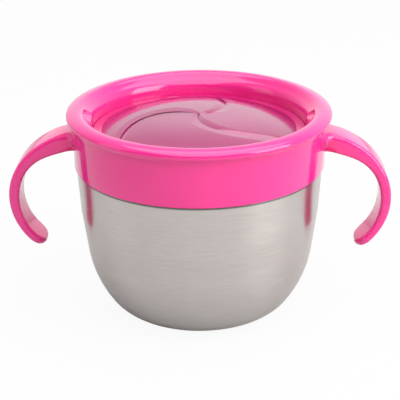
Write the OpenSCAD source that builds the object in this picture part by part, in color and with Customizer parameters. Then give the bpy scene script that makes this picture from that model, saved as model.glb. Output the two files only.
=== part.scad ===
// Toddler snack container: a brushed steel bowl, a screw-on collar with two open handles, a seal,
// and a soft domed lid insert cut into three overlapping leaves that a small hand pushes through.
// Origin: middle of the base, on the table. +X runs through the two handles, +Z is up.

/* [Collar] */
// Diameter over the rolled rim
rim_d = 100; // [97:0.5:102]
// Height from the table to the top of the rim
total_h = 80.8; // [79.8:0.2:82]
// Outer diameter of the plain band below the rim
band_d = 95.2; // [95:0.2:95.8]
// Height of the lower edge of the band above the table
band_bottom = 59; // [58.6:0.1:60.4]
// Wall thickness of the band
band_wall = 2; // [1.7:0.1:2.2]
// Inner diameter of the throat inside the dished rim
throat_d = 80.8; // [80.2:0.2:81]

/* [Handles] */
// Depth of the handle strap, front to back
handle_w = 13.6; // [12.8:0.2:15]
// Thickness of the strap close to the collar
handle_root_t = 7.5; // [6.6:0.1:7.8]
// Thickness of the strap in its outer bend
handle_t = 4.1; // [3.6:0.1:4.6]
// Thickness of the strap near its free tip
handle_tip_t = 3.4; // [3:0.1:3.8]
// Depth of the flared foot where a handle meets the band
foot_w = 22; // [18:0.5:24]
// Height of the flared foot where a handle meets the band
foot_t = 10; // [9:0.5:10.5]

/* [Bowl] */
// Largest outer diameter of the steel, just below the collar
bowl_d = 93.8; // [93:0.2:94]
// Diameter of the flat of the base
base_d = 48; // [44:1:50]
// Radius of the tight corner between base and side
corner_r = 15; // [14:0.5:16]
// Steel thickness
steel_t = 0.6; // [0.5:0.1:0.8]
// Height of the pressed-in centre of the base
dimple_h = 0.8; // [0.6:0.1:1.4]
// Outer diameter of the neck that the collar screws onto
neck_d = 88.6; // [88:0.2:89.2]

/* [Lid insert] */
// Diameter of the soft dome, out to the end of its cuts
dome_d = 70.6; // [68:0.2:71]
// Rise of the dome above the flat ring round it
dome_rise = 5.6; // [4:0.2:6]
// Thickness of a leaf
leaf_t = 0.9; // [0.7:0.1:1]
// Direction in which a cut leaves the centre, counter-clockwise from +X
cut_start = 135; // [0:1:359]
// Turn of a cut from the centre to the ring
cut_sweep = 80; // [50:1:85]
// Width of the hidden underlap of each leaf at the ring
lap_w = 4.6; // [3:0.2:5]
// Diameter of the small opening where the leaves meet
eye_d = 5.2; // [4.8:0.2:7]

/* [Hidden] */

$fn = 120;
eps = 0.02;
pink = "#f0509a";
clear_pink = "#d8709f";
steel = "#b8b4b0";
silicone = "#e6e4e2";

// Bowl outline, as turns and radii from the base to the rolled lip
second_turn = [25.5, 43];
first_turn = 55;
shoulder_turn = 55;
shoulder_r = 0.8;
shoulder_drop = 0.5;
lip_r = 1;
lip_top = 72.6;
dimple_r = 2;
base_rim = 6;

// Collar details
seal_t = 1.6;
seal_gap = 0.12;
ceiling = lip_top + seal_t + 2 * seal_gap;
throat_wall = 1.3;
ledge_z = 68.9;
ledge_t = 1.2;
ledge_reach = 1.8;
edge_r = 0.4;
nose_r = 1.6;
crown_r = 6.5;
crown_x = rim_d / 2 - 4;
crown_inner_r = 3.4;
crown_inner_turn = 48;
dish_z = total_h - 2.2;
under_fillet_r = 1.2;
dish_slope = 30;
dish_round_r = 4.4;
scoop_r = 3;
scoop_run = 5;
scoop_x = throat_d / 2 + 1.2;
scoop_y = -4;
scoop_floor = total_h - 3.8;
scoop_tilt = 32;

// Handle path: turns and radii of the strap's middle line, from the band to the free tip
root_x = 45.9;
root_z = 68.85;
root_fall = 7.9;
upper_turn = 21.5;
upper_r = 40.7;
bend_turn = 57.5;
bend_r = 21.6;
lower_turn = 61.2;
lower_r = 23;
tip_r = 2.3;
tip_corner = 6.1;
foot_len = 8;
foot_taper = 5;
strap_round = 1.45;
strap_sides = 24;
strap_rings = 48;

// Lid insert details
ring_top = 72.3;
dome_power = 3;
ring_rim_w = 2.6;
ring_rim_t = 2.2;
seat_gap = 0.05;
lap_gap = 0.3;
cut_gap = 0.6;
hinge_gap = 0.3;
lap_bridge = 1.2;
lap_end = 0.95;
cut_steps = 14;
arc_step = 6;
tight_r = 3;
dome_r = dome_d / 2;
hinge_reach = dome_r / 2;
hinge_aim = cut_start + cut_sweep + 60;

// Points of a path that starts at p with the given heading. Each move is [turn, size]:
// a straight of that length where the turn is 0, or else an arc of that radius. Arcs tighter than
// tight_r get fewer, wider steps.
function walk(p, heading, moves, i = 0) =
    i == len(moves) ? [] :
    let (turn = moves[i][0], size = moves[i][1])
    turn == 0
        ? let (q = p + size * [cos(heading), sin(heading)])
            concat([q], walk(q, heading, moves, i + 1))
        : let (
            n = max(2, ceil(abs(turn) / arc_step * min(1, size / tight_r))),
            r = size * sign(turn),
            pts = [for (k = [1:n]) let (a = heading + turn * k / n)
                p + r * [sin(a) - sin(heading), cos(heading) - cos(a)]])
            concat(pts, walk(pts[n - 1], heading + turn, moves, i + 1));

// The same moves for a path that runs a distance t to the left
function left_of(moves, t) = [for (m = moves) m[0] == 0 ? m : [m[0], m[1] - sign(m[0]) * t]];

function reversed(list) = [for (i = [len(list) - 1:-1:0]) list[i]];

// A wall of even thickness: the path outside, and its left-hand copy inside
function wall(p, heading, moves, t) = concat(
    [p], walk(p, heading, moves),
    reversed(concat([p + t * [-sin(heading), cos(heading)]],
        walk(p + t * [-sin(heading), cos(heading)], heading, left_of(moves, t)))));

function arc(centre, r, from, to) =
    let (n = max(2, ceil(abs(to - from) / arc_step)))
    [for (k = [0:n]) let (a = from + (to - from) * k / n) centre + r * [cos(a), sin(a)]];

// Bowl: flat base with a pressed centre, two corner arcs, a barely swelling side, a shoulder that
// necks in under the collar, and a hem rolled inwards for a safe edge
module bowl() {
    dimple_turn = acos(1 - dimple_h / (2 * dimple_r));
    dimple_run = base_d / 2 - base_rim - 2 * dimple_r * sin(dimple_turn);
    corner = [[first_turn, corner_r], second_turn];
    corner_end = walk([base_d / 2, 0], 0, corner)[len(walk([base_d / 2, 0], 0, corner)) - 1];
    side_heading = first_turn + second_turn[0];
    shoulder_z = band_bottom - shoulder_drop;
    side_end_heading = 2 * atan2(shoulder_z - corner_end[1], bowl_d / 2 - corner_end[0]) - side_heading;
    side_r = (shoulder_z - corner_end[1]) / (cos(side_heading) - cos(side_end_heading));
    neck_in = (bowl_d - neck_d) / 2;
    slope_len = (neck_in - 2 * shoulder_r * (1 - cos(shoulder_turn))) / sin(shoulder_turn);
    neck_z = shoulder_z + 2 * shoulder_r * sin(shoulder_turn) + slope_len * cos(shoulder_turn);
    moves = concat(
        [[0, dimple_run], [-dimple_turn, dimple_r], [dimple_turn, dimple_r], [0, base_rim]],
        corner,
        [[side_end_heading - side_heading, side_r], [90 + shoulder_turn - side_end_heading, shoulder_r],
         [0, slope_len], [-shoulder_turn, shoulder_r], [0, lip_top - lip_r - neck_z],
         [180, lip_r], [0, 0.5]]);
    color(steel)
    rotate_extrude()
    polygon(wall([0, dimple_h], 0, moves, steel_t));
}

// Seal: a plain silicone ring that lies on the rolled lip, under the ceiling of the collar
module seal_ring() {
    outer = band_d / 2 - band_wall - 0.3;
    inner = throat_d / 2 + throat_wall + 0.25;
    low = lip_top + seal_gap;
    color(silicone)
    rotate_extrude()
    polygon([[inner + edge_r, low], [outer - edge_r, low], [outer, low + edge_r],
        [outer, low + seal_t - edge_r], [outer - edge_r, low + seal_t],
        [inner + edge_r, low + seal_t], [inner, low + seal_t - edge_r], [inner, low + edge_r]]);
}

// Half section of the collar moulding: band, rolled rim, dish, throat wall and the ledge
// that carries the lid insert, hollow underneath for the neck of the bowl
function collar_section() =
    let (
        band_r = band_d / 2,
        bore_r = band_r - band_wall,
        crown_z = total_h - crown_r,
        lean = acos((rim_d / 2 - crown_x - nose_r) / (crown_r - nose_r)),
        nose = [crown_x, crown_z] + (crown_r - nose_r) * [cos(lean), sin(lean)],
        fillet_x = band_r + under_fillet_r,
        fillet_z = nose[1] - sqrt(pow(nose_r + under_fillet_r, 2) - pow(fillet_x - nose[0], 2)),
        under_aim = atan2(fillet_z - nose[1], fillet_x - nose[0]),
        throat_r = throat_d / 2,
        round_c = [throat_r + dish_round_r, dish_z - dish_round_r * cos(dish_slope)],
        throat_out = throat_r + throat_wall)
    concat(
        arc([band_r - edge_r, band_bottom + edge_r], edge_r, -90, 0),
        arc([fillet_x, fillet_z], under_fillet_r, 180, under_aim + 180),
        arc(nose, nose_r, under_aim, lean),
        arc([crown_x, crown_z], crown_r, lean, 90),
        arc([crown_x, total_h - crown_inner_r], crown_inner_r, 90 + arc_step, 90 + crown_inner_turn),
        arc(round_c, dish_round_r, 90 + dish_slope, 180),
        [[throat_r, ledge_z + ledge_t], [throat_r - ledge_reach, ledge_z + ledge_t],
         [throat_r - ledge_reach, ledge_z + edge_r], [throat_r - ledge_reach + edge_r, ledge_z],
         [throat_out - edge_r, ledge_z], [throat_out, ledge_z + edge_r],
         [throat_out, ceiling], [bore_r, ceiling],
         [bore_r, band_bottom + 2], [band_r - edge_r - 0.05, band_bottom]]);

// A shallow scoop in the dish beside a handle, where a fingertip reaches the edge of the insert
module scoop() {
    translate([scoop_x, scoop_y, scoop_floor])
    rotate([0, -scoop_tilt, 0])
    hull()
        for (end = [-1, 1]) translate([0, end * scoop_run / 2, 0]) cylinder(r = scoop_r, h = 5, $fn = 48);
}

// Collar: one moulding with two strap handles on feet that flare into the band, and a shallow
// scoop in the dish above each handle
module collar() {
    color(pink) {
        difference() {
            rotate_extrude() polygon(collar_section());
            scoop();
            mirror([1, 0, 0]) scoop();
        }
        for (side = [0, 180]) rotate([0, 0, side]) handle();
    }
}

// A point and heading on the middle line of the strap, a distance s from its foot
function strap_at(s) =
    let (
        turns = [upper_turn, bend_turn, lower_turn],
        radii = [upper_r, bend_r, lower_r],
        lengths = [for (i = [0:2]) radii[i] * turns[i] * PI / 180],
        s0 = min(s, lengths[0]),
        s1 = min(max(s - lengths[0], 0), lengths[1]),
        s2 = max(s - lengths[0] - lengths[1], 0),
        a0 = -root_fall,
        a1 = a0 - s0 / radii[0] * 180 / PI,
        a2 = a1 - s1 / radii[1] * 180 / PI,
        a3 = a2 - s2 / radii[2] * 180 / PI,
        step = function (a, b, r) r * [sin(a) - sin(b), cos(b) - cos(a)])
    [[root_x, root_z] + step(a0, a1, radii[0]) + step(a1, a2, radii[1]) + step(a2, a3, radii[2]), a3];

strap_len = (upper_r * upper_turn + bend_r * bend_turn + lower_r * lower_turn) * PI / 180;

// Smooth step from 0 to 1
function ease(t) = let (u = min(max(t, 0), 1)) u * u * (3 - 2 * u);

// How much of the flare of the foot is left at a distance s along the strap
function flare(s) = pow(max(0, 1 - s / foot_len), 2.2);

// Part of the full size that is left near a round end, a distance d from it
function round_end(d, r) = d >= r ? 1 : sqrt(max(0.0025, 1 - pow(1 - d / r, 2)));

// Width and thickness of the strap at a distance s: a flared foot, an even taper, and a tip that
// is round seen from the side and has round corners seen from the front
function strap_size(s) =
    let (
        t = handle_root_t + (handle_t - handle_root_t) * ease(s / (0.45 * strap_len))
            + (handle_tip_t - handle_t) * ease((s / strap_len - 0.55) / 0.35),
        to_tip = strap_len - s)
    [handle_w + (foot_w - handle_w) * pow(flare(s), 2) - 2 * tip_corner * (1 - round_end(to_tip, tip_corner)),
     (t + (foot_t - t) * flare(s)) * round_end(to_tip, tip_r)];

// One ring of the strap: a rectangle with round corners, as points across the path. The flare of
// the foot lies on the underside, which narrows to a D.
function strap_ring(s) =
    let (
        place = strap_at(s),
        size = strap_size(s),
        p = place[0],
        a = place[1],
        r = min(strap_round + 2 * max(0, 1 - s / foot_len), size[1] / 2 - 0.001),
        sink = (foot_t - handle_root_t) / 2 * flare(s),
        per = strap_sides / 4)
    [for (corner = [0:3], k = [0:per - 1])
        let (
            turn = 90 * corner + 90 * k / (per - 1),
            sx = (corner == 0 || corner == 3) ? 1 : -1,
            sz = corner < 2 ? 1 : -1,
            half = size[0] / 2 - (sz < 0 ? foot_taper * flare(s) : 0),
            across = sx * (half - r) + r * cos(turn),
            high = sz * (size[1] / 2 - r) + r * sin(turn) - sink)
        [p[0] - high * sin(a), across, p[1] + high * cos(a)]];

// Handle: a loft along the middle line, from inside the band to the round tip
module handle() {
    stations = [for (i = [0:strap_rings]) let (u = i / strap_rings)
        u < 0.2 ? foot_len * u / 0.2
        : u > 0.7 ? strap_len - tip_corner * pow((1 - u) / 0.3, 2)
        : foot_len + (strap_len - tip_corner - foot_len) * (u - 0.2) / 0.5];
    rings = len(stations);
    points = [for (s = stations) each strap_ring(s)];
    sides = [for (i = [0:rings - 2], k = [0:strap_sides - 1])
        let (a = i * strap_sides + k, b = i * strap_sides + (k + 1) % strap_sides)
        each [[b, a, b + strap_sides], [b + strap_sides, a, a + strap_sides]]];
    polyhedron(
        points,
        concat([[for (k = [0:strap_sides - 1]) k]], sides,
            [[for (k = [strap_sides - 1:-1:0]) (rings - 1) * strap_sides + k]]),
        convexity = 4);
}

// Height of the top of the dome at a distance r from the middle
function dome_z(r) = ring_top + dome_rise * (1 - pow(min(r, dome_r) / dome_r, dome_power));

// A layer of the dome, from low to high below its top surface
module dome_layer(high, low) {
    radii = [for (i = [0:12]) (dome_r + 1) * i / 12];
    rotate_extrude()
    polygon(concat(
        [for (r = radii) [r, dome_z(r) - high]],
        [for (r = reversed(radii)) [r, dome_z(r) - low]]));
}

// A point on cut k at a distance r from the middle, moved sideways by an arc length
function cut_point(k, r, aside = 0) =
    let (a = cut_start + 120 * k + cut_sweep * r / dome_r + (r > 0.5 ? aside / r * 180 / PI : 0))
    r * [cos(a), sin(a)];

// Plan of the swirl between cut k and the next one, out to a radius
function swirl(k, out) =
    let (
        radii = [for (i = [0:cut_steps]) out * i / cut_steps],
        a0 = cut_start + 120 * k + cut_sweep * out / dome_r)
    concat(
        [for (r = radii) cut_point(k, r, cut_gap)],
        [for (i = [1:11]) let (a = a0 + 120 * i / 12) out * [cos(a), sin(a)]],
        [for (r = reversed(radii)) if (r > 0) cut_point(k + 1, r)]);

// Plan of the underlap along cut k, from a distance before the cut to a distance past it
function lap_band(k, before, past) =
    let (radii = [for (i = [1:cut_steps]) dome_r * lap_end * i / cut_steps])
    concat(
        [for (r = radii) cut_point(k, r, -before * r / dome_r)],
        [for (r = reversed(radii)) cut_point(k, r, past)]);

// The side of the hinge line of leaf k that lies within reach of the middle
module inside_hinge(k, reach) {
    rotate([0, 0, hinge_aim + 120 * k])
    translate([reach - 100, -50])
    square([100, 100]);
}

// Leaf k: the part of the dome between two cuts that swings about the straight line between
// their outer ends, with a lower lip that reaches under the neighbour's edge
module leaf(k) {
    reach = hinge_reach - hinge_gap / 2;
    color(clear_pink)
    difference() {
        union() {
            intersection() {
                dome_layer(0, leaf_t);
                translate([0, 0, ring_top - 10])
                linear_extrude(30)
                intersection() {
                    polygon(swirl(k, dome_r));
                    inside_hinge(k, reach);
                }
            }
            intersection() {
                dome_layer(leaf_t + lap_gap, 2 * leaf_t);
                translate([0, 0, ring_top - 10])
                linear_extrude(30)
                intersection() {
                    polygon(lap_band(k, lap_w, lap_bridge));
                    inside_hinge(k, reach);
                }
            }
            intersection() {
                dome_layer(leaf_t - eps, leaf_t + lap_gap + eps);
                translate([0, 0, ring_top - 10])
                linear_extrude(30)
                intersection() {
                    polygon(lap_band(k, -cut_gap, lap_bridge));
                    inside_hinge(k, reach);
                }
            }
        }
        translate([0, 0, ring_top - 10]) cylinder(d = eye_d, h = 30);
    }
}

// Flap ring: the flat rim of the insert with the three parts of the dome that stay still
module flap_ring() {
    out = throat_d / 2 - seat_gap;
    foot = ledge_z + ledge_t;
    rim_top = foot + ring_rim_t;
    color(clear_pink) {
        rotate_extrude()
        polygon([[out - ring_rim_w, foot], [out, foot], [out, rim_top - edge_r],
            [out - edge_r, rim_top], [out - ring_rim_w, ring_top], [dome_r, ring_top],
            [dome_r, ring_top - leaf_t], [out - ring_rim_w - 0.4, ring_top - leaf_t]]);
        for (k = [0:2])
            intersection() {
                dome_layer(0, leaf_t);
                translate([0, 0, ring_top - 10])
                linear_extrude(30)
                difference() {
                    polygon(swirl(k, dome_r + 0.5));
                    inside_hinge(k, hinge_reach + hinge_gap / 2);
                    for (j = [1, 2]) swirl_guard(k + j);
                }
            }
    }
}

// Room that leaf k needs in the fixed parts: its own plan, a cut's width larger
module swirl_guard(k) {
    intersection() {
        polygon(swirl(k, dome_r));
        inside_hinge(k, hinge_reach);
    }
}

module flap_left() { leaf(2); }

module flap_front() { leaf(0); }

module flap_right() { leaf(1); }

bowl();
seal_ring();
collar();
flap_ring();
flap_left();
flap_front();
flap_right();
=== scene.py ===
# %% [markdown]
# # A toddler's snack container
# The object is a brushed steel bowl under a pink screw-on collar. The collar carries two open
# handles, and a soft see-through insert closes it: a low dome cut into three swirled leaves that a
# small hand pushes through. The solid parts come from a CAD model that is loaded first. Blender adds
# what the eye looks for: the lapped rubber leaves, the screw thread, soft gloss and brushed metal.

import math

import bmesh
import bpy
from mathutils import Matrix, Vector


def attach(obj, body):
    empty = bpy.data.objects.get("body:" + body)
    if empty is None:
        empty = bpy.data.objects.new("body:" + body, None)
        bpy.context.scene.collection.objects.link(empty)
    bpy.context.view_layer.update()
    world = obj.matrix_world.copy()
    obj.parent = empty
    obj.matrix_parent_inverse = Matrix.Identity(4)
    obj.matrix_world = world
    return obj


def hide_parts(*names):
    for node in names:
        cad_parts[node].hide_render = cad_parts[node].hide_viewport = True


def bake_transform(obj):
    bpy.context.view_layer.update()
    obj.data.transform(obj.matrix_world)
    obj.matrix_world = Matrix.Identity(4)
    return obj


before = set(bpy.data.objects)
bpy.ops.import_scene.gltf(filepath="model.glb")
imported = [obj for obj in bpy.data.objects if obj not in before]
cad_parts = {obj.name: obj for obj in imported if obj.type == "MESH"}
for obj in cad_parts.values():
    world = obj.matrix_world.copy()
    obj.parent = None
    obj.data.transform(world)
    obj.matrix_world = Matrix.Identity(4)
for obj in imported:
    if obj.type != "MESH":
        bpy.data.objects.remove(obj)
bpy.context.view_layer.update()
mm = 0.001

# %% [markdown]
# ## The camera
# A product photograph is taken from a step back with a long lens, so that the round rim keeps its
# shape. The camera looks down by 23 degrees. It is placed by the direction that it looks back in,
# which makes its three axes plain vectors, and a small roll levels the rim as it is in the picture.

# %% Camera
camera_target = Vector((0.1, 0.0, 42.4)) * mm
camera_distance = 480.8 * mm
camera_turn = math.radians(1.85)
camera_down = math.radians(22.8)
camera_roll = math.radians(-0.5)
sensor_mm = 36.0
focal_mm = 111.4

look_back = Vector((
    math.sin(camera_turn) * math.cos(camera_down),
    -math.cos(camera_turn) * math.cos(camera_down),
    math.sin(camera_down),
))
level = Vector((0, 0, 1)).cross(look_back).normalized()
upright = look_back.cross(level)
right = level * math.cos(camera_roll) + upright * math.sin(camera_roll)
up = upright * math.cos(camera_roll) - level * math.sin(camera_roll)

camera_data = bpy.data.cameras.new("camera")
camera_data.lens = focal_mm
camera_data.sensor_width = sensor_mm
camera = bpy.data.objects.new("camera", camera_data)
bpy.context.scene.collection.objects.link(camera)
camera.matrix_world = Matrix.Translation(camera_target + look_back * camera_distance) @ Matrix(
    (right, up, look_back)).transposed().to_4x4()
bpy.context.scene.camera = camera
print("camera at", [round(v / mm) for v in camera.matrix_world.translation], "mm")

# %% [markdown]
# ## Arithmetic on sockets
# Materials and Geometry Nodes both work with numbers that travel along wires. Adding each Math node
# by hand hides the formula. A small class holds one output socket and lets Python's own operators
# add the nodes, so a formula in this file reads as it would on paper.

# %% A wire that takes part in arithmetic
class Wire:
    """One output socket of a node, usable in a Python expression."""

    def __init__(self, graph, socket):
        self.graph, self.socket = graph, socket

    def out(self, name):
        return Wire(self.graph, self.socket.node.outputs[name])

    def math(self, operation, *others):
        return self.graph.maths(operation, self, *others)

    def __add__(self, other):
        return self.math("ADD", other)

    __radd__ = __add__

    def __sub__(self, other):
        return self.math("SUBTRACT", other)

    def __rsub__(self, other):
        return self.graph.maths("SUBTRACT", other, self)

    def __mul__(self, other):
        return self.math("MULTIPLY", other)

    __rmul__ = __mul__

    def __truediv__(self, other):
        return self.math("DIVIDE", other)

    def __rtruediv__(self, other):
        return self.graph.maths("DIVIDE", other, self)

    def __pow__(self, other):
        return self.math("POWER", other)

    def at_least(self, low):
        return self.math("MAXIMUM", low)

    def at_most(self, high):
        return self.math("MINIMUM", high)


class Graph:
    """A node tree, with one method that adds any node."""

    def __init__(self, tree):
        self.tree = tree

    def node(self, kind, settings=None, inputs=None):
        made = self.tree.nodes.new(kind)
        for name, value in (settings or {}).items():
            if name == "stops":
                ramp = made.color_ramp.elements
                while len(ramp) < len(value):
                    ramp.new(0.5)
                for stop, (place, colour) in zip(ramp, value):
                    stop.position, stop.color = place, (*colour, 1)
            else:
                setattr(made, name, value)
        for key, value in (inputs or {}).items():
            for wire in value if isinstance(value, list) else [value]:
                if isinstance(wire, Wire):
                    self.tree.links.new(wire.socket, made.inputs[key])
                else:
                    made.inputs[key].default_value = wire
        return Wire(self, made.outputs[0]) if made.outputs else made

    def maths(self, operation, *values):
        return self.node("ShaderNodeMath", {"operation": operation}, dict(enumerate(values)))

    def ramp_between(self, value, low, high):
        """0 below low and 1 above high, with a smooth rise between them."""
        return self.node("ShaderNodeMapRange", {"interpolation_type": "SMOOTHSTEP"},
                         {"Value": value, "From Min": low, "From Max": high})

    def mix_colour(self, factor, first, second):
        mixed = self.node("ShaderNodeMix", {"data_type": "RGBA"}, {0: factor, 6: first, 7: second})
        return Wire(self, mixed.socket.node.outputs[2])


print("a wire knows", sum(name.startswith("__") for name in vars(Wire)), "special methods")

# %% [markdown]
# ## Finishes
# Each finish is a Principled BSDF. What is the same all over the surface is set on its sockets. What
# varies, such as a cloudy tint, a patchy gloss or a fine relief, is a noise on Object coordinates, so
# that it stays on the piece when the piece moves. A colour is written as it looks on a screen.

# %% Colours and the start of a finish
def colour(red, green, blue):
    """Screen colour, 0 to 255, as the linear numbers that a shader works with."""
    def linear(c):
        c /= 255
        return c / 12.92 if c <= 0.04045 else ((c + 0.055) / 1.055) ** 2.4
    return (*(linear(c) for c in (red, green, blue)), 1)


def finish(name, **constants):
    """A material with a Principled BSDF whose sockets hold the constants."""
    material = bpy.data.materials.new(name)
    material.use_nodes = True
    graph = Graph(material.node_tree)
    surface = material.node_tree.nodes["Principled BSDF"]
    for socket, value in constants.items():
        surface.inputs[socket.replace("_", " ")].default_value = value
    return material, graph, surface


def plug(graph, surface, **wires):
    for socket, wire in wires.items():
        graph.tree.links.new(wire.socket, surface.inputs[socket.replace("_", " ")])


def noise(graph, size_mm, stretch=(1, 1, 1), detail=3):
    """A noise whose blobs are about size_mm across, stretched along an axis if asked."""
    place = graph.node("ShaderNodeTexCoord").out("Object")
    scaled = graph.node("ShaderNodeVectorMath", {"operation": "MULTIPLY"},
                        {0: place, 1: tuple(1 / (size_mm * mm * s) for s in stretch)})
    return graph.node("ShaderNodeTexNoise", {"normalize": True},
                      {"Vector": scaled, "Scale": 1, "Detail": detail})


def relief(graph, height, depth_mm, strength=1.0):
    return graph.node("ShaderNodeBump", {}, {"Height": height, "Distance": depth_mm * mm,
                                             "Strength": strength})


# %% [markdown]
# ### Pink moulded plastic
# The collar is polypropylene: a strong even pink with a soft gloss, a trace of cloudiness in the
# colour and the very fine orange-peel that a polished mould leaves.

# %% Pink plastic
def pink_plastic():
    material, graph, surface = finish("pink_plastic", IOR=1.49, Coat_Weight=0.6, Coat_Roughness=0.04)
    cloud = noise(graph, 22, detail=4)
    peel = noise(graph, 1.6, detail=2)
    plug(graph, surface,
         Base_Color=graph.mix_colour(cloud, colour(236, 33, 134), colour(243, 40, 142)),
         Roughness=0.14 + 0.05 * noise(graph, 9),
         Normal=relief(graph, peel, 0.004, 0.4))
    return material


pink = pink_plastic()
print("finish:", pink.name)

# %% [markdown]
# ### See-through pink rubber
# The insert is a clear soft rubber tinted pink. One layer lets the dark inside show, and where two
# leaves lap the tint doubles. Alpha gives that doubling by itself, because each layer covers part of
# what lies behind it. The ring is the same rubber, thicker, so its tint is deeper and hides more.

# %% Pink rubber
def pink_rubber(name, dark, light, cover, gloss):
    """Rubber in a tint between two colours. Cover is how much of what lies behind a layer hides."""
    material, graph, surface = finish(name, IOR=1.5, Coat_Weight=gloss, Coat_IOR=1.9, Coat_Roughness=0.1)
    haze = noise(graph, 14, detail=3)
    grain = noise(graph, 0.9, detail=2)
    plug(graph, surface,
         Base_Color=graph.mix_colour(haze, colour(*dark), colour(*light)),
         Roughness=0.14 + 0.06 * noise(graph, 6),
         Alpha=cover + 0.08 * haze,
         Normal=relief(graph, grain, 0.005, 0.4))
    return material


rubber = pink_rubber("pink_rubber_leaf", (172, 32, 108), (184, 44, 120), cover=0.66, gloss=1.0)
thick_rubber = pink_rubber("pink_rubber_ring", (208, 34, 118), (220, 44, 130), cover=0.84, gloss=0.35)
print("finishes:", rubber.name, "and", thick_rubber.name)

# %% [markdown]
# ### Brushed steel
# The bowl is spun on a lathe and brushed round its axis, so the scratches are level hairlines a few
# millimetres long. A noise that is stretched along X and Y but not along Z draws them all round the
# bowl. It drives the tint, the sheen and a very low relief, and the anisotropy of the shader spreads
# each highlight up and down across the hairlines, as brushed metal does. A fine dark line at the foot
# of the shoulder, just under the edge of the collar, is painted shade: it stands for the shadow and
# the dark reflection of the band's underside in the gap there.

# %% Brushed steel
def brushed_steel():
    material, graph, surface = finish("brushed_steel", Metallic=1.0, Anisotropic=0.85,
                                      Anisotropic_Rotation=0.25)
    hairs = noise(graph, 0.28, stretch=(24, 24, 1), detail=4)
    patches = noise(graph, 9, stretch=(3, 3, 1), detail=3)
    shade = graph.ramp_between(0.7 * hairs + 0.3 * patches, 0.25, 0.75)
    brushed = graph.mix_colour(shade, colour(189, 183, 179), colour(204, 198, 194))
    height = graph.node("ShaderNodeSeparateXYZ", {}, {
        0: graph.node("ShaderNodeTexCoord").out("Object")}).out("Z") / mm
    # Painted shade: a dark band just under the collar's edge stands for the shadow and the dark reflection in the
    # gap.
    painted_shade_line = graph.ramp_between(height, 57.9, 58.3) * (1 - graph.ramp_between(height, 59.2, 59.8))
    tint = graph.mix_colour(0.75 * painted_shade_line, brushed, colour(58, 50, 54))
    plug(graph, surface, Base_Color=tint,
         Roughness=0.21 + 0.06 * hairs + 0.03 * patches,
         Normal=relief(graph, hairs, 0.003, 0.2))
    return material


steel = brushed_steel()
print("finish:", steel.name)

# %% [markdown]
# ### White silicone
# The seal under the collar is matt white silicone with a dusty, slightly uneven skin.

# %% White silicone
def white_silicone():
    material, graph, surface = finish("white_silicone", IOR=1.41)
    dust = noise(graph, 3, detail=4)
    plug(graph, surface,
         Base_Color=graph.mix_colour(dust, colour(232, 231, 229), colour(240, 239, 237)),
         Roughness=0.5 + 0.12 * dust, Normal=relief(graph, dust, 0.02, 0.4))
    return material


silicone = white_silicone()
print("finish:", silicone.name)

# %% Finishes on the CAD pieces
finishes = {"bowl": steel, "seal_ring": silicone}
for node, material in finishes.items():
    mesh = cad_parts[node].data
    mesh.materials.clear()
    mesh.materials.append(material)
    print(node, "has", len(mesh.polygons), "faces and", material.name)

# %% [markdown]
# ## Recipes that make meshes
# A Geometry Nodes tree is a recipe: named sizes go in, a mesh comes out. The helpers here start a
# tree with its named inputs, and bake it: the sizes are set by each socket's identifier before the
# object is first evaluated, the evaluated result becomes a plain mesh, and the modifier is gone.

# %% Start and bake a recipe
socket_kinds = {float: "NodeSocketFloat", int: "NodeSocketInt"}


def recipe(name, sizes):
    """A Geometry Nodes tree with a named input for each size, and a wire for each."""
    tree = bpy.data.node_groups.new(name, "GeometryNodeTree")
    tree.interface.new_socket("Geometry", in_out="OUTPUT", socket_type="NodeSocketGeometry")
    for label, value in sizes.items():
        socket = tree.interface.new_socket(label, in_out="INPUT", socket_type=socket_kinds[type(value)])
        socket.default_value = value
    tree.interface.new_socket("Material", in_out="INPUT", socket_type="NodeSocketMaterial")
    graph = Graph(tree)
    start = graph.node("NodeGroupInput")
    return graph, {item.name: start.out(item.name) for item in tree.interface.items_tree
                   if item.in_out == "INPUT"}


def end_recipe(graph, geometry, material):
    """The tree's last nodes: instances made real, the material set, and the output."""
    real = graph.node("GeometryNodeRealizeInstances", {}, {"Geometry": geometry})
    dressed = graph.node("GeometryNodeSetMaterial", {}, {"Geometry": real, "Material": material})
    graph.node("NodeGroupOutput", {}, {"Geometry": dressed})


def bake(name, tree, sizes, finishing=()):
    """Runs a recipe with these sizes, then any finishing modifiers, into a plain mesh object."""
    blank = bpy.data.objects.new(name + "_blank", bpy.data.meshes.new(name + "_blank"))
    bpy.context.scene.collection.objects.link(blank)
    modifier = blank.modifiers.new("recipe", "NODES")
    modifier.node_group = tree
    for item in tree.interface.items_tree:
        if item.in_out == "INPUT" and item.name in sizes:
            modifier[item.identifier] = sizes[item.name]
    for kind, settings in finishing:
        extra = blank.modifiers.new(kind.lower(), kind)
        for key, value in settings.items():
            setattr(extra, key, value)
    evaluated = blank.evaluated_get(bpy.context.evaluated_depsgraph_get())
    mesh = bpy.data.meshes.new_from_object(evaluated)
    bpy.data.objects.remove(blank)
    made = bpy.data.objects.new(name, mesh)
    mesh.name = name
    bpy.context.scene.collection.objects.link(made)
    return made


def soften(piece, sharp_above=35):
    """Smooth shading, with edges kept sharp where faces meet at more than this angle."""
    shape = bmesh.new()
    shape.from_mesh(piece.data)
    bmesh.ops.remove_doubles(shape, verts=shape.verts, dist=1e-6)
    bmesh.ops.recalc_face_normals(shape, faces=shape.faces)
    for face in shape.faces:
        face.smooth = True
    for edge in shape.edges:
        edge.smooth = len(edge.link_faces) == 2 and edge.calc_face_angle() < math.radians(sharp_above)
    shape.to_mesh(piece.data)
    shape.free()
    return piece


# %% [markdown]
# ## The collar
# The collar is one moulding. Its body is a turned form: an outline that is carried round the axis,
# which a short loop does directly. Its handles are lofts, rings of points that follow three arcs.
# The CAD model holds both already, but with as few faces as it can. A gloss shows every facet, so
# the same rules are run here with far more of them, and the handles are joined to the body and the
# two scoops cut out of it by Boolean modifiers.

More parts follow.
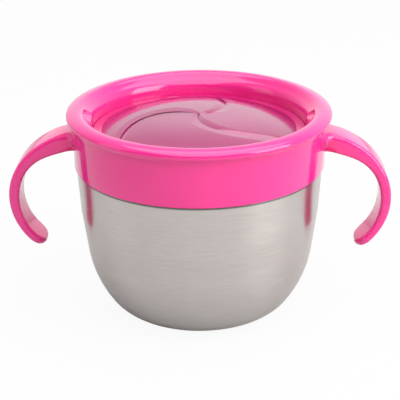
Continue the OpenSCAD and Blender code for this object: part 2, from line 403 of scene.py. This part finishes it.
# %% Turned forms
def turned(name, outline, material, steps=256):
    """A closed outline of (radius, height) points in mm, carried round the Z axis."""
    shape = bmesh.new()
    rings = []
    for i in range(steps):
        a = 2 * math.pi * i / steps
        rings.append([shape.verts.new((r * mm * math.cos(a), r * mm * math.sin(a), z * mm))
                      for r, z in outline])
    for i in range(steps):
        this, following = rings[i], rings[(i + 1) % steps]
        for j in range(len(outline)):
            k = (j + 1) % len(outline)
            shape.faces.new((this[j], following[j], following[k], this[k]))
    mesh = bpy.data.meshes.new(name)
    shape.to_mesh(mesh)
    shape.free()
    mesh.materials.append(material)
    made = bpy.data.objects.new(name, mesh)
    bpy.context.scene.collection.objects.link(made)
    return made


def arc(centre, radius, start, end, points=6):
    """Points on an arc, angles in degrees."""
    return [(centre[0] + radius * math.cos(math.radians(start + (end - start) * i / points)),
             centre[1] + radius * math.sin(math.radians(start + (end - start) * i / points)))
            for i in range(points + 1)]


# %% The outline of the collar
rim_radius, rim_top, band_radius, band_low = 50.0, 80.8, 47.6, 59.0
throat_radius, throat_outside, ledge_radius = 40.4, 41.7, 38.6
ledge_low, ledge_high, ceiling = 68.9, 70.1, 74.44
bore_radius = 45.6
crown_x, crown_radius, nose_radius, under_fillet = 46.0, 6.5, 1.6, 1.2
inner_crown, inner_turn, dish_slope, dish_round, dish_high = 3.4, 48.0, 30.0, 4.4, 78.6
edge = 0.4

lean = math.degrees(math.acos((rim_radius - crown_x - nose_radius) / (crown_radius - nose_radius)))
crown = (crown_x, rim_top - crown_radius)
nose = arc(crown, crown_radius - nose_radius, lean, lean, 1)[0]
fillet_x = band_radius + under_fillet
fillet_z = nose[1] - math.sqrt((nose_radius + under_fillet) ** 2 - (fillet_x - nose[0]) ** 2)
under_aim = math.degrees(math.atan2(fillet_z - nose[1], fillet_x - nose[0]))
dish_centre = (throat_radius + dish_round, dish_high - dish_round * math.cos(math.radians(dish_slope)))
collar_outline = [
    *arc((band_radius - edge, band_low + edge), edge, -90, 0, 6),
    (band_radius, 64.0), (band_radius, 69.0),
    *arc((fillet_x, fillet_z), under_fillet, 180, under_aim + 180, 10),
    *arc(nose, nose_radius, under_aim, lean, 16)[1:],
    *arc(crown, crown_radius, lean, 90, 12)[1:],
    *arc((crown_x, rim_top - inner_crown), inner_crown, 90, 90 + inner_turn, 14)[1:],
    *arc(dish_centre, dish_round, 90 + dish_slope, 180, 20),
    (throat_radius, 73.0), (throat_radius, ledge_high), (ledge_radius, ledge_high),
    (ledge_radius, band_low), (band_radius - edge - 0.05, band_low),
]
mouth, spare = band_radius - edge - 0.05, 1.0
hollow_outline = [
    (ledge_radius - spare, band_low - spare),
    (mouth + (mouth - bore_radius) * spare / 2, band_low - spare),
    (bore_radius, band_low + 2), (bore_radius, ceiling), (throat_outside, ceiling),
    (throat_outside, ledge_low + edge), (throat_outside - edge, ledge_low),
    (ledge_radius + edge, ledge_low), (ledge_radius - edge, ledge_low + 2 * edge),
    (ledge_radius - spare, ledge_low + 2 * edge),
]
print("collar outline:", len(collar_outline), "points, hollow:", len(hollow_outline))

# %% The loft of a handle
strap_root, root_fall = (45.88, 68.85), math.radians(7.9)
strap_arcs = ((21.5, 40.7), (57.5, 21.6), (61.2, 23.0))
strap_length = sum(math.radians(turn) * radius for turn, radius in strap_arcs)
strap_width, foot_width, foot_thick, foot_length, foot_taper = 13.6, 22.0, 10.0, 8.0, 5.0
root_thick, bend_thick, tip_thick = 7.5, 4.1, 3.4
tip_round, tip_corner = 2.3, 6.1
strap_corner, strap_rings, corner_points = 1.45, 150, 9


def ease(t):
    t = min(max(t, 0), 1)
    return t * t * (3 - 2 * t)


def round_end(distance, radius):
    """The share of the full size that is left near a round end."""
    return 1 if distance >= radius else math.sqrt(max(0.0025, 1 - (1 - distance / radius) ** 2))


def strap_at(s):
    """Place and fall of the middle line at a distance s from the foot."""
    (x, z), fall = strap_root, root_fall
    for turn, radius in strap_arcs:
        step = min(s, math.radians(turn) * radius)
        after = fall + step / radius
        x += radius * (math.sin(after) - math.sin(fall))
        z -= radius * (math.cos(fall) - math.cos(after))
        fall, s = after, s - step
    return x, z, fall


def strap_ring(s):
    """A rectangle with round corners across the strap. The foot flares on its underside."""
    x, z, fall = strap_at(s)
    along, to_tip = s / strap_length, strap_length - s
    near_foot = max(0, 1 - s / foot_length)
    flare = near_foot ** 2.2
    thick = (root_thick + (bend_thick - root_thick) * ease(along / 0.45)
             + (tip_thick - bend_thick) * ease((along - 0.55) / 0.35))
    thick = (thick + (foot_thick - thick) * flare) * round_end(to_tip, tip_round)
    width = (strap_width + (foot_width - strap_width) * flare ** 2
             - 2 * tip_corner * (1 - round_end(to_tip, tip_corner)))
    corner = min(strap_corner + 2 * near_foot, thick / 2 - 0.001)
    sink = (foot_thick - root_thick) / 2 * flare
    points = []
    for quarter, (side, level) in enumerate(((1, 1), (-1, 1), (-1, -1), (1, -1))):
        half = width / 2 - (foot_taper * flare if level < 0 else 0)
        for k in range(corner_points):
            a = math.radians(90 * (quarter + k / (corner_points - 1)))
            across = side * (half - corner) + corner * math.cos(a)
            high = level * (thick / 2 - corner) + corner * math.sin(a) - sink
            points.append((x + high * math.sin(fall), across, z + high * math.cos(fall)))
    return points


def strap_stations():
    """Distances along the strap, closer together at the foot and at the tip."""
    for i in range(strap_rings + 1):
        u = i / strap_rings
        if u < 0.2:
            yield foot_length * u / 0.2
        elif u > 0.7:
            yield strap_length - tip_corner * ((1 - u) / 0.3) ** 2
        else:
            yield foot_length + (strap_length - tip_corner - foot_length) * (u - 0.2) / 0.5


# %% Closed shells from rings of points
def loft(name, rings, mirrored=False):
    """A closed shell through rings of points in mm, capped at both ends."""
    shape = bmesh.new()
    side = -1 if mirrored else 1
    rows = [[shape.verts.new((side * x * mm, y * mm, z * mm)) for x, y, z in ring] for ring in rings]
    for this, following in zip(rows, rows[1:]):
        for k in range(len(this)):
            j = (k + 1) % len(this)
            shape.faces.new((this[k], this[j], following[j], following[k]))
    shape.faces.new(rows[0])
    shape.faces.new(rows[-1])
    bmesh.ops.remove_doubles(shape, verts=shape.verts, dist=1e-7)
    bmesh.ops.recalc_face_normals(shape, faces=shape.faces)
    mesh = bpy.data.meshes.new(name)
    shape.to_mesh(mesh)
    shape.free()
    made = bpy.data.objects.new(name, mesh)
    bpy.context.scene.collection.objects.link(made)
    return made


scoop_place, scoop_tilt = Vector((41.6, -4.0, 77.0)), math.radians(-32)
scoop_radius, scoop_run, scoop_floor_round, scoop_depth = 3.0, 5.0, 1.0, 5.0


def scoop_rings():
    """A pocket cutter: an oblong with a rounded floor, tilted square to the slope of the dish."""
    tilt = Matrix.Rotation(scoop_tilt, 3, "Y")
    levels = [(scoop_radius - scoop_floor_round * (1 - math.sin(a)), scoop_floor_round * (1 - math.cos(a)))
              for a in (math.radians(15 * i) for i in range(7))]
    for radius, z in levels + [(scoop_radius, scoop_depth)]:
        ring = []
        for i in range(48):
            a = 2 * math.pi * (i + 0.5) / 48
            shift = math.copysign(scoop_run / 2, math.sin(a))
            ring.append(scoop_place + tilt @ Vector((
                radius * math.cos(a), radius * math.sin(a) + shift, z)))
        yield ring


# %% The collar as one piece
collar_steps = 288
blank = turned("collar_blank", collar_outline, pink, collar_steps)
soften(blank)
parts = [(loft("strap", [strap_ring(s) for s in strap_stations()], side), "UNION") for side in (False, True)]
parts += [(loft("scoop", list(scoop_rings()), side), "DIFFERENCE") for side in (False, True)]
parts.append((soften(turned("hollow", hollow_outline, pink, collar_steps)), "DIFFERENCE"))
for part, operation in parts:
    cut = blank.modifiers.new(operation.lower(), "BOOLEAN")
    cut.object, cut.operation, cut.solver = part, operation, "EXACT"
moulding_mesh = bpy.data.meshes.new_from_object(blank.evaluated_get(bpy.context.evaluated_depsgraph_get()))
for spare in (blank, *(part for part, _ in parts)):
    bpy.data.objects.remove(spare)
moulding_mesh.materials.clear()
moulding_mesh.materials.append(pink)
moulding = bpy.data.objects.new("collar_moulding", moulding_mesh)
bpy.context.scene.collection.objects.link(moulding)
soften(moulding, sharp_above=40)
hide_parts("collar")
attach(moulding, "lid")
print(moulding.name, "has", len(moulding.data.polygons), "faces")

# %% [markdown]
# ## The lapped leaves
# Three leaves make the dome. Each is the same sheet, so it is made by one rule and turned by a third
# of a circle. The rule works on a flat grid: one direction runs from the middle out to the ring, the
# other from one swirled cut to the next. Beside a cut the sheet creases, dips and slides under its
# neighbour, whose own edge thins to a feather above it: this leaves the fine dark slit that shows on
# the real lid. The top and the underside are the same grid placed twice and joined at their borders.

# %% The sizes of a leaf
dome_radius = 36.9
cut_reach = 35.3
dome_rise = 5.6
dome_power = 3.0
ring_top = 72.3
ring_skin = 0.9
leaf_skin = 0.7
cut_start = 135.0
cut_sweep = 80.0
leaf_sizes = {
    "Radius": dome_radius * mm, "Overlap": 0.6 * mm, "Eye": 0.5 * mm, "Rise": dome_rise * mm,
    "Power": dome_power, "Ring height": ring_top * mm, "Thickness": leaf_skin * mm,
    "Start": math.radians(cut_start), "Sweep": math.radians(cut_sweep * dome_radius / cut_reach),
    "Turn": 0.0,
    "Lip": 4.6 * mm, "Crease": 3.6 * mm, "Dip": 0.92 * mm, "Sag": 0.15 * mm, "Feather": 2.2 * mm,
    "Hem": 0.45 * mm, "Hem run": 4.0 * mm,
    "Columns": 121, "Rows": 65,
}
lip_share = 0.16
third = 2 * math.pi / 3


# %% The rule of a leaf
def leaf_recipe():
    graph, size = recipe("lapped_leaf", leaf_sizes)
    grid = graph.node("GeometryNodeMeshGrid", {}, {
        "Size X": 1.0, "Size Y": 1.0, "Vertices X": size["Columns"], "Vertices Y": size["Rows"]})
    across = graph.node("ShaderNodeSeparateXYZ", {}, {0: graph.node("GeometryNodeInputPosition")})
    u, v = across.out("X") + 0.5, across.out("Y") + 0.5
    reach = size["Radius"] + size["Overlap"] - size["Eye"]
    r = size["Eye"] + reach * v
    near_middle = ((r + 2 * mm) / (12 * mm)).at_most(1.0)
    near_ring = ((size["Radius"] - r) / (5 * mm)).at_most(1.0).at_least(0.0)
    share = near_middle * near_ring

    inside = ((u - lip_share) / (1 - lip_share)).at_least(0.0)
    beyond = ((lip_share - u) / lip_share).at_least(0.0)
    own_turn = inside * inside * (3 - 2 * inside) * third
    lip_whole = (size["Lip"] * share / r).at_most(0.8)
    lip_turn = beyond * lip_whole
    turn = size["Start"] + size["Turn"] + size["Sweep"] * r / size["Radius"] + own_turn - lip_turn

    past_crease = size["Crease"] * share - (own_turn - lip_turn) * r
    slope = (past_crease / ((size["Crease"] + size["Feather"]) * share + 0.1 * mm)).at_least(0.0).at_most(1.0)
    slack = 4 * v * (1 - v)
    to_edge = (third - own_turn) * r
    hem = (1 - to_edge / (size["Hem run"] * share + 0.1 * mm)).at_least(0.0)
    dip = slope ** 1.25 * ((size["Dip"] + size["Hem"]) * near_ring + size["Sag"] * slack * slack) + (
        hem * size["Hem"] * near_ring)
    height = size["Ring height"] + size["Rise"] * (1 - (r / size["Radius"]) ** size["Power"]) - dip

    to_lip_end = (lip_whole - lip_turn + own_turn) * r
    to_border = (reach * v).math("MINIMUM", reach * (1 - v)) * 3
    full = (to_lip_end.math("MINIMUM", to_edge).math("MINIMUM", to_border) / size["Feather"]).at_most(1.0)
    thickness = size["Thickness"] * full.at_least(0.0) ** 0.5

    x, y = r * turn.math("COSINE"), r * turn.math("SINE")
    skins = [
        graph.node("GeometryNodeSetPosition", {}, {"Geometry": grid, "Position": graph.node(
            "ShaderNodeCombineXYZ", {}, {"X": x, "Y": y, "Z": z})})
        for z in (height, height - thickness)]
    skins[1] = graph.node("GeometryNodeFlipFaces", {}, {"Mesh": skins[1]})
    both = graph.node("GeometryNodeJoinGeometry", {}, {"Geometry": skins})
    closed = graph.node("GeometryNodeMergeByDistance", {}, {"Geometry": both, "Distance": 0.004 * mm})
    end_recipe(graph, closed, size["Material"])
    return graph.tree


leaf_tree = leaf_recipe()
print("leaf recipe:", len(leaf_tree.nodes), "nodes")

# %% Three leaves from one recipe
leaf_order = ("flap_front", "flap_right", "flap_left")
for k, body in enumerate(leaf_order):
    leaf = bake(body.replace("flap", "leaf"), leaf_tree, {**leaf_sizes, "Turn": k * third, "Material": rubber})
    soften(leaf)
    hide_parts(body)
    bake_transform(leaf)
    print(leaf.name, "has", len(leaf.data.polygons), "faces")

# %% [markdown]
# ## The ring round the leaves
# The leaves grow out of a flat ring with a thicker rim that seats on the collar's ledge. It is a
# turned form again. The small nub at the back is where the mould was filled.

# %% The ring
ring_out = 40.35
ring_foot = 70.1
insert_ring = turned("insert_ring", [
    (dome_radius, ring_top - ring_skin), (37.3, ring_top - ring_skin), (37.8, ring_foot),
    *arc((ring_out - 0.3, ring_foot + 0.3), 0.3, -90, 0, 4),
    *arc((ring_out - 0.4, ring_top - 0.4), 0.4, 0, 90, 5), (38.5, ring_top), (38.3, ring_top),
    (37.7, ring_top), (dome_radius, ring_top),
], thick_rubber)
nub_aim, nub_width, nub_rise = math.radians(108), 2.0, 0.4
for vertex in insert_ring.data.vertices:
    if vertex.co.z > (ring_top - 0.5) * mm and vertex.co.xy.length > 38.4 * mm:
        aside = (math.atan2(vertex.co.y, vertex.co.x) - nub_aim) * ring_out / nub_width
        vertex.co.z += nub_rise * mm * math.exp(-aside ** 4)
soften(insert_ring)
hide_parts("flap_ring")
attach(insert_ring, "lid")
print(insert_ring.name, "has", len(insert_ring.data.polygons), "faces")

# %% [markdown]
# ## The screw thread
# The collar screws onto the neck of the bowl. Under the band, each has three low ridges that climb
# round it, so a third of a turn closes the lid. One recipe makes both: a spiral curve whose radius
# thins out at its two ends carries a round profile, and three copies stand a third of a turn apart.
# The two sets keep clear of each other, because the model also lifts the lid straight up.

# %% The rule of a thread
neck_radius = 44.3
thread_sizes = {"Radius": neck_radius * mm, "Ridge": 0.4 * mm, "Foot": 62.6 * mm, "Climb": 5.4 * mm,
                "Turns": 0.42, "Starts": 3}


def thread_recipe():
    graph, size = recipe("thread", thread_sizes)
    helix = graph.node("GeometryNodeCurveSpiral", {}, {
        "Resolution": 160, "Rotations": size["Turns"], "Start Radius": size["Radius"],
        "End Radius": size["Radius"], "Height": size["Climb"]})
    along = graph.node("GeometryNodeSplineParameter").out("Factor")
    ends = (along.math("MINIMUM", 1 - along) * 9).at_most(1.0).at_least(0.05)
    thinned = graph.node("GeometryNodeSetCurveRadius", {}, {"Curve": helix, "Radius": ends})
    profile = graph.node("GeometryNodeCurvePrimitiveCircle", {}, {"Resolution": 12, "Radius": size["Ridge"]})
    ridge = graph.node("GeometryNodeCurveToMesh", {}, {
        "Curve": thinned, "Profile Curve": profile.out("Curve"), "Fill Caps": True})
    starts = graph.node("GeometryNodePoints", {}, {"Count": size["Starts"], "Position": graph.node(
        "ShaderNodeCombineXYZ", {}, {"Z": size["Foot"]})})
    step = graph.node("GeometryNodeInputIndex") * (2 * math.pi) / size["Starts"]
    threads = graph.node("GeometryNodeInstanceOnPoints", {}, {
        "Points": starts, "Instance": ridge,
        "Rotation": graph.node("ShaderNodeCombineXYZ", {}, {"Z": step})})
    end_recipe(graph, threads, size["Material"])
    return graph.tree


thread_tree = thread_recipe()
threads = {
    "bowl_thread": ({}, steel, "bowl", "steel"),
    "collar_thread": ({"Radius": bore_radius * mm, "Foot": 61.2 * mm}, pink, "lid", "collar_plastic"),
}
for name, (changes, material, body, slot) in threads.items():
    thread = bake(name, thread_tree, {**thread_sizes, **changes, "Material": material})
    soften(thread, sharp_above=60)
    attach(thread, body)
    reach = [vertex.co.xy.length / mm for vertex in thread.data.vertices]
    levels = [vertex.co.z / mm for vertex in thread.data.vertices]
    print(name, "radius", round(min(reach), 2), "to", round(max(reach), 2),
          "height", round(min(levels), 2), "to", round(max(levels), 2))

# %% [markdown]
# ## Floor and light
# The container stands on a plain pale floor under large soft lamps. The floor and the world are
# brightened for camera rays alone, which gives a white page without more light on the object.

# %% Floor
floor_mesh = bpy.data.meshes.new("floor")
reach = 4.0
floor_mesh.from_pydata([(-reach, -reach, 0), (reach, -reach, 0), (reach, reach, 0), (-reach, reach, 0)],
                       [], [(0, 1, 2, 3)])
floor = bpy.data.objects.new("floor", floor_mesh)
bpy.context.scene.collection.objects.link(floor)


def pale_floor():
    material, graph, surface = finish("pale_floor", Roughness=0.8)
    surface.inputs["Specular IOR Level"].default_value = 0.1
    plug(graph, surface, Base_Color=graph.mix_colour(noise(graph, 60), colour(202, 202, 202), colour(206, 206, 206)))
    rays = graph.node("ShaderNodeLightPath")
    seen = rays.out("Is Camera Ray") * 0.93
    glow = graph.node("ShaderNodeEmission", {}, {"Color": (1, 1, 1, 1), "Strength": 1.0})
    mixed = graph.node("ShaderNodeMixShader", {}, {0: seen, 1: Wire(graph, surface.outputs[0]), 2: glow})
    graph.tree.links.new(mixed.socket, graph.tree.nodes["Material Output"].inputs["Surface"])
    return material


floor_mesh.materials.append(pale_floor())
print("floor", 2 * reach, "m across")

# %% World
world = bpy.data.worlds.new("studio")
bpy.context.scene.world = world
world.use_nodes = True
sky = Graph(world.node_tree)
rays = sky.node("ShaderNodeLightPath")
direction = sky.node("ShaderNodeSeparateXYZ", {}, {0: sky.node("ShaderNodeTexCoord").out("Generated")})
low_band = 1 - sky.ramp_between(direction.out("Z"), 0.35, 0.75)
room = (0.56 + direction.out("Y") * (0.2 + 0.34 * low_band)
        + 0.16 * direction.out("Z") + 0.2 * direction.out("X"))
strength = room + rays.out("Is Camera Ray") * (1 - room)
back = world.node_tree.nodes["Background"]
back.inputs["Color"].default_value = (1, 1, 1, 1)
world.node_tree.links.new(strength.socket, back.inputs["Strength"])

# %% Lamps
def softbox(name, place, towards, width, height, watts):
    lamp = bpy.data.lights.new(name, "AREA")
    lamp.shape, lamp.size, lamp.size_y, lamp.energy = "RECTANGLE", width, height, watts
    made = bpy.data.objects.new(name, lamp)
    bpy.context.scene.collection.objects.link(made)
    aim = Vector(towards) - Vector(place)
    made.matrix_world = Matrix.Translation(place) @ aim.to_track_quat("-Z", "Y").to_matrix().to_4x4()
    made.visible_camera = False
    return made


softbox("right_softbox", (0.62, -0.3, 0.34), (0, 0, 0.05), 0.45, 0.6, 3.8)
softbox("left_softbox", (-0.8, -0.2, 0.35), (0, 0, 0.05), 0.4, 0.8, 0.8)
softbox("top_softbox", (0.1, -0.45, 0.9), (0.1, -0.45, 0.0), 1.0, 1.9, 11.0)
bpy.context.scene.view_settings.view_transform = "Standard"
print("three softboxes")

# %% [markdown]
# ## The end
# The dressed model has to stay inside the CAD model's box.
